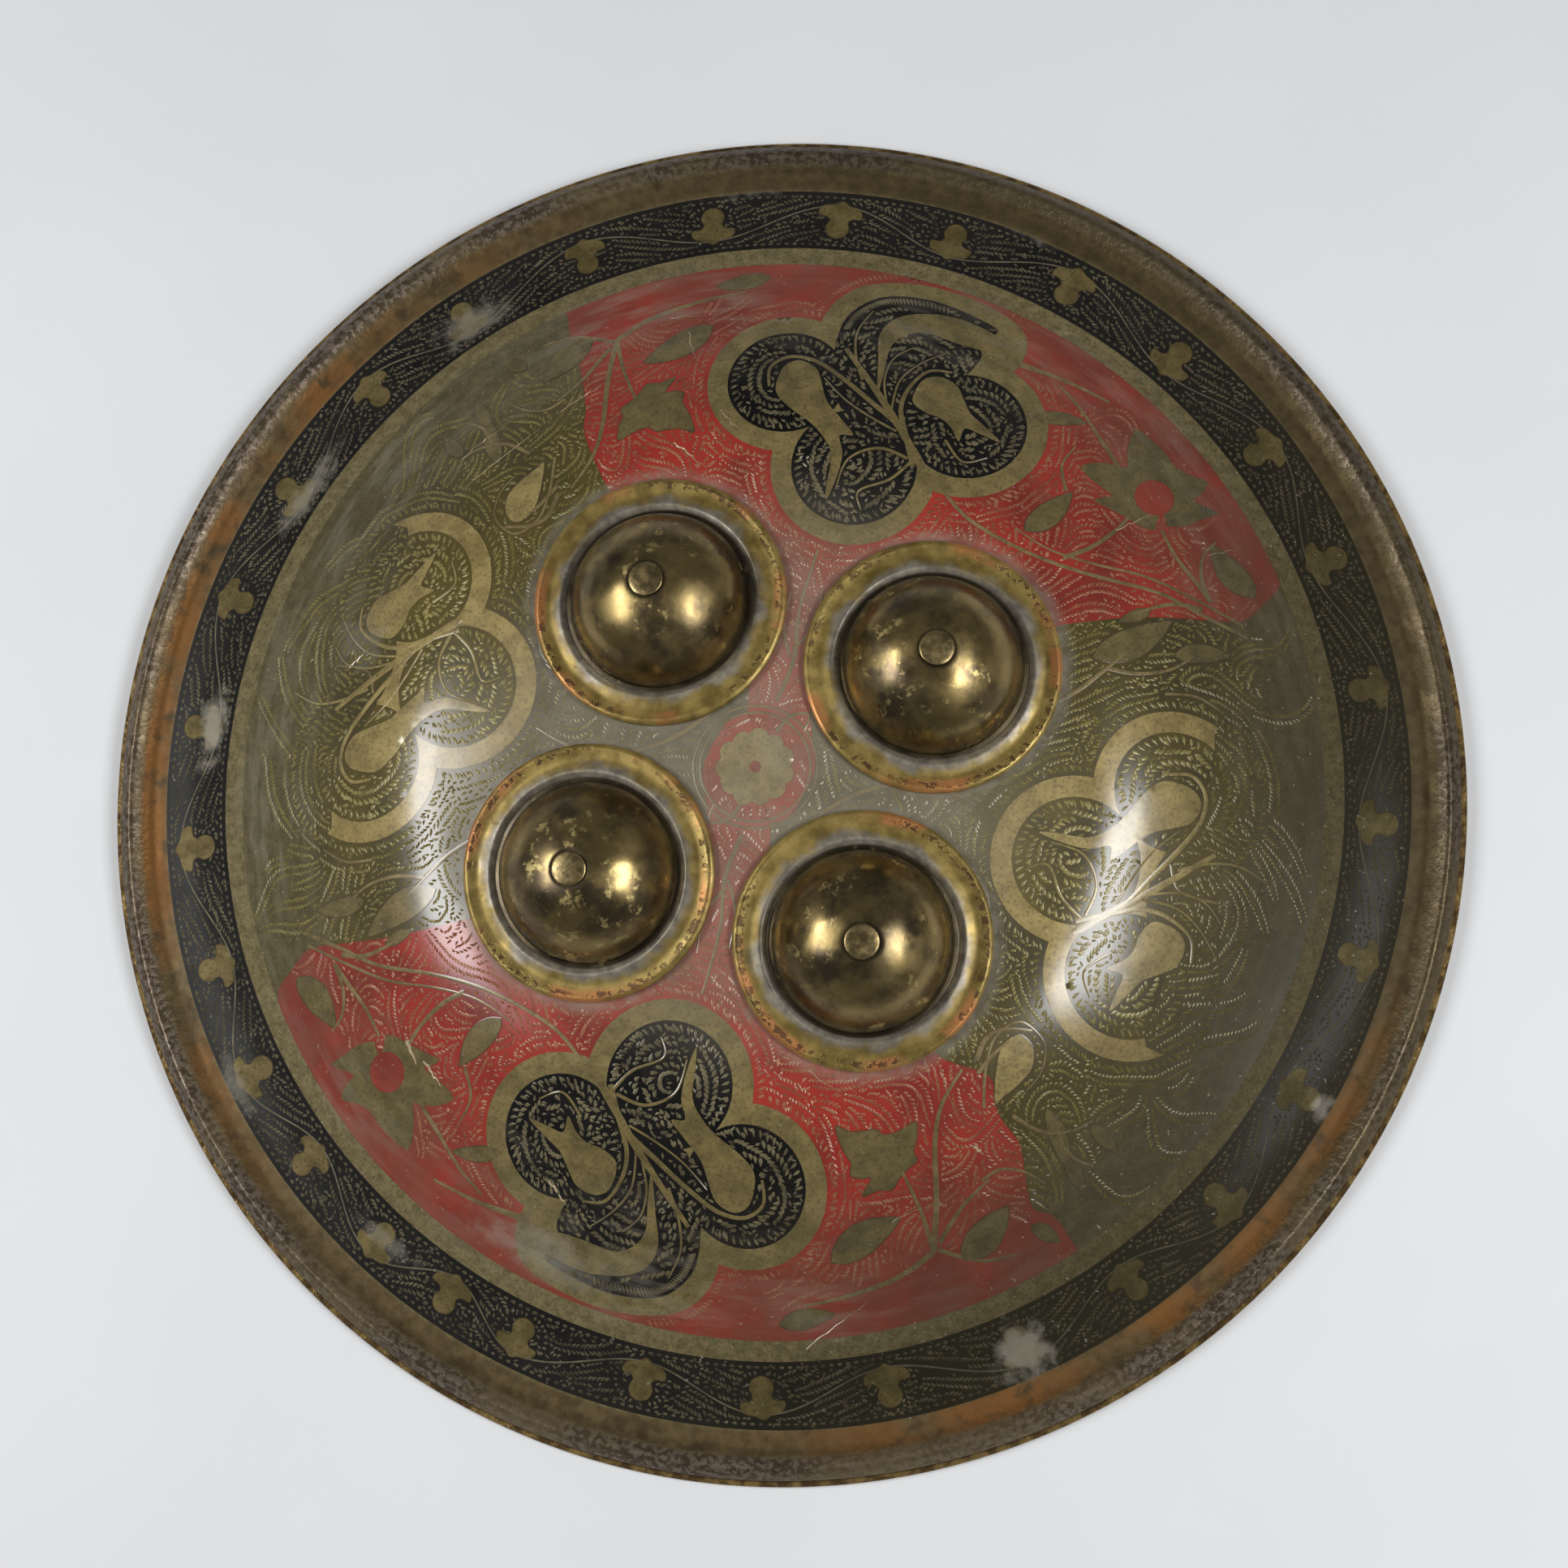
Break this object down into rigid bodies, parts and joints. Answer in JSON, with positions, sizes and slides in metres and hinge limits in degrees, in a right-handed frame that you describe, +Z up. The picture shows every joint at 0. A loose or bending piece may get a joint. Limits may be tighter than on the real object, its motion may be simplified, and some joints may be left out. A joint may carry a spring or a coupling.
{
  "type": "buckler shield",
  "caption": "Round dished metal shield with a ridged rim, riveted domed bosses and an engraved, lacquered face, hollow behind for the bearer's hand.",
  "frame": {"origin": "on the ground, under the middle of the shield, which lies face up on its rim", "axes": "+Z up through the middle of the crown, out of the face; the bosses stand at 45 degrees to +X and +Y, and +Y points at the red field's black palmette"},
  "size_m": [0.37, 0.37, 0.0741],
  "materials": {
    "shell_brass": "aged brown brass, engraved, with worn haze and dirt",
    "boss_brass": "polished brass with brown patina patches and scratches",
    "rivet_brass": "rubbed brass with a dirty edge"
  },
  "bodies": {
    "root": {"shell": "shell_brass", "boss_upper_right": "boss_brass", "boss_upper_left": "boss_brass", "boss_lower_left": "boss_brass", "boss_lower_right": "boss_brass", "rivet_upper_right": "rivet_brass", "rivet_upper_left": "rivet_brass", "rivet_lower_left": "rivet_brass", "rivet_lower_right": "rivet_brass"}
  },
  "joints": []
}
